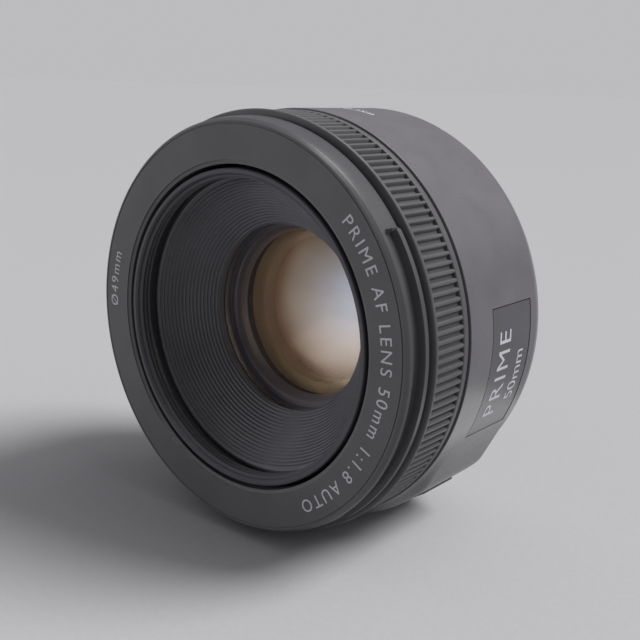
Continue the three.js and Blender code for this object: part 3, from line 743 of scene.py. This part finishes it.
# front and rear face as (vertex depth, radius), rim, front and rear face's own rim if narrower, coating
ELEMENTS = [
    ((14.6, 34), (18.6, 130), 14.8, None, None, front_glass),
    ((18.9, 20.5), (23.5, 50), 13.0, None, None, second_glass),
    ((24.6, 70), (25.8, 15.5), 11.3, None, 9.6, deep_glass),
    ((35.7, -16.5), (36.85, 70), 10.2, 9.6, None, deep_glass),
    ((37.0, 70), (40.2, -26), 10.2, None, None, deep_glass),
    ((40.4, 120), (43.4, -50), 11.5, None, None, rear_glass),
]
coated = bpy.data.collections.new("coated")
for number, (front, rear, rim, front_rim, rear_rim, coating) in enumerate(ELEMENTS, 1):
    piece = element(f"element_{number}", front, rear, rim, front_rim, rear_rim)
    place(piece, "optical_unit", "coated_glass", coating, f"lens_{number}")
    piece.data.materials.append(edge_black_and_gap_shade)
    for face in piece.data.polygons:
        on_rim = abs(face.normal.y) < 0.2
        face.material_index = int(on_rim)
    coated.objects.link(piece)


# ---------------------------------------------------------------- bayonet mount

THROAT_R = 25.3
MOUNT_R = 32.4
FLANGE_S = 39.3
SCREW_RING_R = 29.2
INDEX_R = 30.3
SCREW_T = [t + TOP_T for t in (20, 110, 200, 290)]
LUGS = [(TOP_T + 22, 52), (TOP_T + 142, 46), (TOP_T + 262, 46)]
BACK = Vector((0, 1, 0))
UP = Vector((0, 0, 1))


def drill(name, r, s0, s1, ring_r, t):
    """A cutter for a hole along the axis, from depth s0 to s1."""
    return rod(name, [(0, 0), (r, 0), (r, s1 - s0), (0, s1 - s0)], at(ring_r, s0, t), BACK, UP)


def mount():
    """The bayonet's flange and spigot with its lugs, screw holes, lock-pin hole and index seat."""
    body = turned("bayonet_ring", [
        (23.72, 38.35), (MOUNT_R, 38.35, 0.05), (MOUNT_R, FLANGE_S, 0.22), (THROAT_R, FLANGE_S, 0.06),
        (THROAT_R, LENGTH, 0.3), (23.72, LENGTH, 0.12),
    ])
    lugs = [
        sector(f"lug_{i}", [(25, 42.5), (26.9, 42.5, 0.15), (26.9, 43.9, 0.25), (25, 43.9)],
               t - span / 2, t + span / 2, 30, 0.2)
        for i, (t, span) in enumerate(LUGS)
    ]
    carve(body, lugs, "UNION")
    holes = [
        drill(f"recess_{i}", 1.9, FLANGE_S - 0.75, 40, SCREW_RING_R, t) for i, t in enumerate(SCREW_T)
    ]
    holes.append(drill("lock", 1.5, 38.6, 40, 28.9, TOP_T - 62))
    holes.append(drill("seat", 1.15, FLANGE_S - 0.4, 40, INDEX_R, TOP_T))
    return carve(body, holes)


place(mount(), "barrel", "mount_steel", mount_finish, "bayonet_mount")

place(rod("mount_dot", [(0, 0), (0.95, 0), (0.95, 0.2), (0.85, 0.28), (0, 0.33)],
          at(INDEX_R, FLANGE_S - 0.35, TOP_T), BACK, UP),
      "barrel", "index_red", red_finish, "mount_index_dot")


def mount_screw(i, t):
    """A cross-recessed pan-head screw."""
    head = rod(f"flange_screw_{i}", [
        (0, -1.6), (0.8, -1.6), (0.8, 0), (1.7, 0), (1.7, 0.38), (1.6, 0.5), (1.3, 0.57), (0, 0.6),
    ], at(SCREW_RING_R, FLANGE_S - 0.7, t), BACK, UP)
    centre = at(SCREW_RING_R, FLANGE_S, t)
    turn = math.radians(25 + 40 * i)
    arms = []
    for k in range(2):
        arm = brick(f"arm_{k}", (-1.05, -0.5, -0.16), (1.05, 1, 0.16))
        spin = Matrix.Rotation(turn + k * math.pi / 2, 4, "Y")
        arm.data.transform(Matrix.Translation(centre) @ spin)
        arms.append(arm)
    return carve(head, arms)


for number, t in enumerate(SCREW_T, 1):
    place(mount_screw(number, t), "barrel", "screw_steel", screw_finish, f"mount_screw_{number}")

CONTACT_T = TOP_T + 180
CONTACTS = 7
CONTACT_PITCH = 8.2


def light_baffle():
    """The cover behind the rear element, with an opening for the contact block."""
    body = turned("light_baffle", [
        (14.6, 43.9, 0.1), (22.6, 43.9), (22.6, 38.6), (23.4, 38.6), (23.4, 44.6, 0.3),
        (14.6, 44.6, 0.2),
    ])
    opening = sector("opening", [(18.7, 43), (22.2, 43), (22.2, 46), (18.7, 46)],
                     CONTACT_T - 31, CONTACT_T + 31, 24)
    return carve(body, [opening])


place(light_baffle(), "barrel", "inner_plastic", inner_finish, "rear_baffle")

place(sector("contact_holder", [(19, 40.8), (22, 40.8), (22, 44.3, 0.2), (19, 44.3, 0.2)],
             CONTACT_T - 29.5, CONTACT_T + 29.5, 40, 0.2),
      "barrel", "contact_plastic", contact_finish, "contact_block")

for number in range(CONTACTS):
    t = CONTACT_T + (number - (CONTACTS - 1) / 2) * CONTACT_PITCH
    tip = rod(f"contact_pin_{number + 1}", [
        (0, 0), (0.55, 0), (0.55, 0.35), (0.48, 0.47), (0.3, 0.55), (0, 0.58),
    ], at(20.6, 44.02, t), BACK, UP)
    place(tip, "barrel", "contact_gold", gold_finish)


# ---------------------------------------------------------------- printed markings

CAP_SHARE = 0.72  # cap height of the built-in font, as a share of its size
INK = 0.03  # the letters' thickness
CUT = 0.5  # letters are cut at this spacing, so that they can bend with the surface
RING_PRINT_S = 0.016
PLATE_PRINT_R = 34.56
BARREL_PRINT_R = 34.62


def print_on(name, text, cap, lay, material, spacing=1.0):
    """Lettering of the given cap height, laid on the surface by lay(x, y, height)."""
    curve = bpy.data.curves.new(name, "FONT")
    curve.body = text
    curve.size = cap / CAP_SHARE
    curve.space_character = spacing
    curve.align_x = "CENTER"
    curve.align_y = "CENTER"
    curve.extrude = INK / 2
    curve.resolution_u = 5
    source = put_in_scene(name + "_source", curve)
    mesh = evaluated_mesh(source)
    bpy.data.objects.remove(source)
    bm = bmesh.new()
    bm.from_mesh(mesh)
    bpy.data.meshes.remove(mesh)
    width = max(abs(v.co.x) for v in bm.verts)
    across = (Vector((1, 0, 0)), int(width / CUT))
    upwards = (Vector((0, 1, 0)), int(cap / CUT) + 1)
    for axis, reach in (across, upwards):
        for k in range(-reach, reach + 1):
            geometry = bm.verts[:] + bm.edges[:] + bm.faces[:]
            bmesh.ops.bisect_plane(bm, geom=geometry, plane_co=axis * k * CUT, plane_no=axis)
    for v in bm.verts:
        v.co = lay(v.co.x, v.co.y, v.co.z)
    obj = finish_mesh(name, bm, 30)
    obj.modifiers.clear()
    return place(obj, "barrel", "marking_white", material)


def on_ring(radius, middle):
    """Lays lettering on the front face round `radius`, tops outward, centred on a clock angle."""
    return lambda x, y, h: at(radius + y, RING_PRINT_S - h, middle - math.degrees(x / radius))


def on_barrel(s, t):
    """Lays lettering on the barrel so that it reads round it, tops towards the mount."""
    return lambda x, y, h: at(BARREL_PRINT_R + h, s + y, t - math.degrees(x / BARREL_PRINT_R))


def on_plate(s, t):
    """Lays lettering on the plate so that it reads upwards, tops towards the front."""
    return lambda x, y, h: at(PLATE_PRINT_R + h, s - y, t + math.degrees(x / PLATE_PRINT_R))


print_on("ring_lettering", "PRIME AF LENS 50mm 1:1.8 AUTO", 2.05, on_ring(29.5, -7.8),
         ring_marking_finish, 1.29)
print_on("ring_thread_size", "Ø49mm", 1.9, on_ring(30.1, 172.5), ring_marking_finish, 1.25)
print_on("plate_lettering_1", "PRIME", 3.6, on_plate(25.0, TOP_T - 0.5), marking_finish, 1.2)
print_on("plate_lettering_2", "50mm", 2.6, on_plate(29.8, TOP_T - 2), marking_finish)
print_on("barrel_distance", "0.35m", 1.9, on_barrel(24.3, TOP_T + 91), marking_finish)


# ---------------------------------------------------------------- iris pinion

SLIMMING = 0.04  # share by which the pinion is drawn in towards its axis


def slim_pinion():
    """The iris motor's pinion with its teeth a little thinner than in CAD, so that they run free."""
    node = frame["nodes"]["iris_pinion"]
    bm = bmesh.new()
    bm.from_mesh(node.data)
    bm.transform(node.matrix_world)
    middle = sum((v.co for v in bm.verts), Vector()) / len(bm.verts)
    for v in bm.verts:
        v.co.x += (middle.x - v.co.x) * SLIMMING
        v.co.z += (middle.z - v.co.z) * SLIMMING
    return finish_mesh("slim_pinion", bm, sharp=25)


place(slim_pinion(), "iris_pinion", "gear_brass", brass_finish, "iris_pinion")


# ---------------------------------------------------------------- CAD nodes that stay

KEPT = {
    # the front cell carries the painted amber reflection
    painted_amber_reflection: ["front_lens_cell"],
    cell_finish: ["rear_lens_cell", "rear_retainer"],
    aluminium_finish: ["spacer_ring", "guide_barrel", "cam_ring", "iris_base", "iris_cover"],
    brass_finish: ["gear_1", "gear_2", "motor_pinion", *(f"cam_follower_{i}" for i in (1, 2, 3))],
    screw_finish: [
        "focus_motor", "iris_motor", "gear_frame", "gear_axle_1", "gear_axle_2", "iris_ring",
        *(f"guide_screw_{i}" for i in (1, 2, 3)),
    ],
    board_finish: ["main_board", "switch_board"],
    contact_finish: ["lens_processor", "ring_sensor"],
    blade_finish: [f"iris_blade_{i}" for i in range(1, 8)],
}
for material, names in KEPT.items():
    for name in names:
        node = frame["nodes"][name]
        node.data.materials.clear()
        node.data.materials.append(material)


# ---------------------------------------------------------------- floor, light and camera

FLOOR_HALF = 30000.0


def floor():
    """A pale floor that runs to the horizon."""
    bm = bmesh.new()
    corners = ((-1, -1), (1, -1), (1, 1), (-1, 1))
    bm.faces.new([bm.verts.new(Vector((x, y, 0)) * FLOOR_HALF * MM) for x, y in corners])
    mesh = bpy.data.meshes.new("floor")
    bm.to_mesh(mesh)
    bm.free()
    obj = put_in_scene("floor", mesh)
    paint = Paint("floor_paper", (0.61, 0.61, 0.625), 0.9)
    paint.tint(paint.noise(1.2, 3), 0.015)
    paint.bump(paint.noise(0.6, 2), 0.02)
    mesh.materials.append(paint.material)


floor()


def toward(azimuth, elevation):
    """The direction from the lens to a light. Azimuth 0 is in front of it and 90 towards +X."""
    a = math.radians(azimuth)
    e = math.radians(elevation)
    return Vector((math.sin(a) * math.cos(e), -math.cos(a) * math.cos(e), math.sin(e)))


def area_light(name, wide, tall, power, colour):
    """An area light with its sizes in millimetres, still to be put in its place."""
    data = bpy.data.lights.new(name, "AREA")
    data.shape = "RECTANGLE"
    data.size = wide * MM
    data.size_y = tall * MM
    data.energy = power
    data.color = colour
    return put_in_scene(name, data)


def soft_light(name, azimuth, elevation, distance, size, power, colour=(1, 1, 1), tall=None):
    """An area light aimed at the lens from `distance` mm away."""
    light = area_light(name, size, tall or size, power, colour)
    way = toward(azimuth, elevation)
    light.location = Vector((0, 0, AXIS_Z * MM)) + way * distance * MM
    light.rotation_euler = (-way).to_track_quat("-Z", "Y").to_euler()
    return light


def flat_card(name, spot, size, power, colour=(1, 1, 1)):
    """An unseen glowing card just above the floor: more light from a sunlit patch of it."""
    light = area_light(name, size, size, power, colour)
    light.location = Vector((*spot, 1.5)) * MM
    light.rotation_euler = (math.pi, 0, 0)
    light.visible_camera = False
    return light


def sun(name, azimuth, elevation, spread, strength):
    """A far soft light: the sky through a wide window, `spread` degrees across."""
    data = bpy.data.lights.new(name, "SUN")
    data.angle = math.radians(spread)
    data.energy = strength
    light = put_in_scene(name, data)
    light.rotation_euler = (-toward(azimuth, elevation)).to_track_quat("-Z", "Y").to_euler()
    return light


unlit = bpy.data.collections.new("unlit")
unlit.objects.link(bpy.data.objects["floor"])
unlit.collection_objects[0].light_linking.link_state = "EXCLUDE"


def spare_floor(light):
    """Keeps a light off the floor, as a small flag beside the lamp would."""
    light.light_linking.receiver_collection = unlit


# the two suns are one wide window, and what follows stands in for its bounce off room and floor
window = sun("window", 128, 46, 26, 2.5)
window.visible_glossy = False
sun("window_sheen", 128, 46, 70, 0.45)
front_fill = soft_light("front_fill", -42, 5, 700, 480, 3.2, tall=240)
front_fill.visible_glossy = False
spare_floor(front_fill)
spare_floor(soft_light("top_card", 112, 82, 600, 300, 3.1))
spare_floor(flat_card("floor_bounce", (50, 30), 36, 0.0036))
# only the glass mirrors these two
for light in (
    soft_light("glass_sheen", 32, 14, 520, 460, 4.2, (0.93, 0.95, 1.0), 560),
    flat_card("glass_floor_sheen", (30, -110), 150, 0.07, (0.9, 0.86, 1.0)),
):
    light.light_linking.receiver_collection = coated


SKY = 0.22
BACKDROP = 0.515


def surroundings():
    """An even dim sky for light, with a plain pale backdrop behind the floor."""
    world = bpy.data.worlds.new("studio")
    bpy.context.scene.world = world
    world.use_nodes = True
    tree = world.node_tree
    sky = tree.nodes["Background"]
    sky.inputs["Color"].default_value = (0.96, 0.95, 1.0, 1)
    sky.inputs["Strength"].default_value = SKY
    backdrop = tree.nodes.new("ShaderNodeBackground")
    backdrop.inputs["Color"].default_value = (0.98, 0.98, 1.0, 1)
    backdrop.inputs["Strength"].default_value = BACKDROP
    path = tree.nodes.new("ShaderNodeLightPath")
    mix = tree.nodes.new("ShaderNodeMixShader")
    tree.links.new(path.outputs["Is Camera Ray"], mix.inputs["Fac"])
    tree.links.new(sky.outputs[0], mix.inputs[1])
    tree.links.new(backdrop.outputs[0], mix.inputs[2])
    tree.links.new(mix.outputs[0], tree.nodes["World Output"].inputs["Surface"])


surroundings()

CAMERA_AT = Vector((102.2, -125.6, 73.65))
CAMERA_AIM = Vector((9.8, -13.2, 37.2))
CAMERA_ROLL = 1.9
FOCAL_LENGTH = 52.98


def camera():
    """The photo's view: from the front right, a little above the lens."""
    data = bpy.data.cameras.new("camera")
    data.lens = FOCAL_LENGTH
    data.sensor_width = 36
    data.clip_start = 0.01
    data.clip_end = 20
    eye = put_in_scene("camera", data)
    look = (CAMERA_AIM - CAMERA_AT).to_track_quat("-Z", "Y")
    roll = Quaternion((0, 0, 1), math.radians(CAMERA_ROLL))
    eye.rotation_mode = "QUATERNION"
    eye.rotation_quaternion = look @ roll
    eye.location = CAMERA_AT * MM
    bpy.context.scene.camera = eye


camera()
bpy.context.scene.view_settings.view_transform = "Standard"
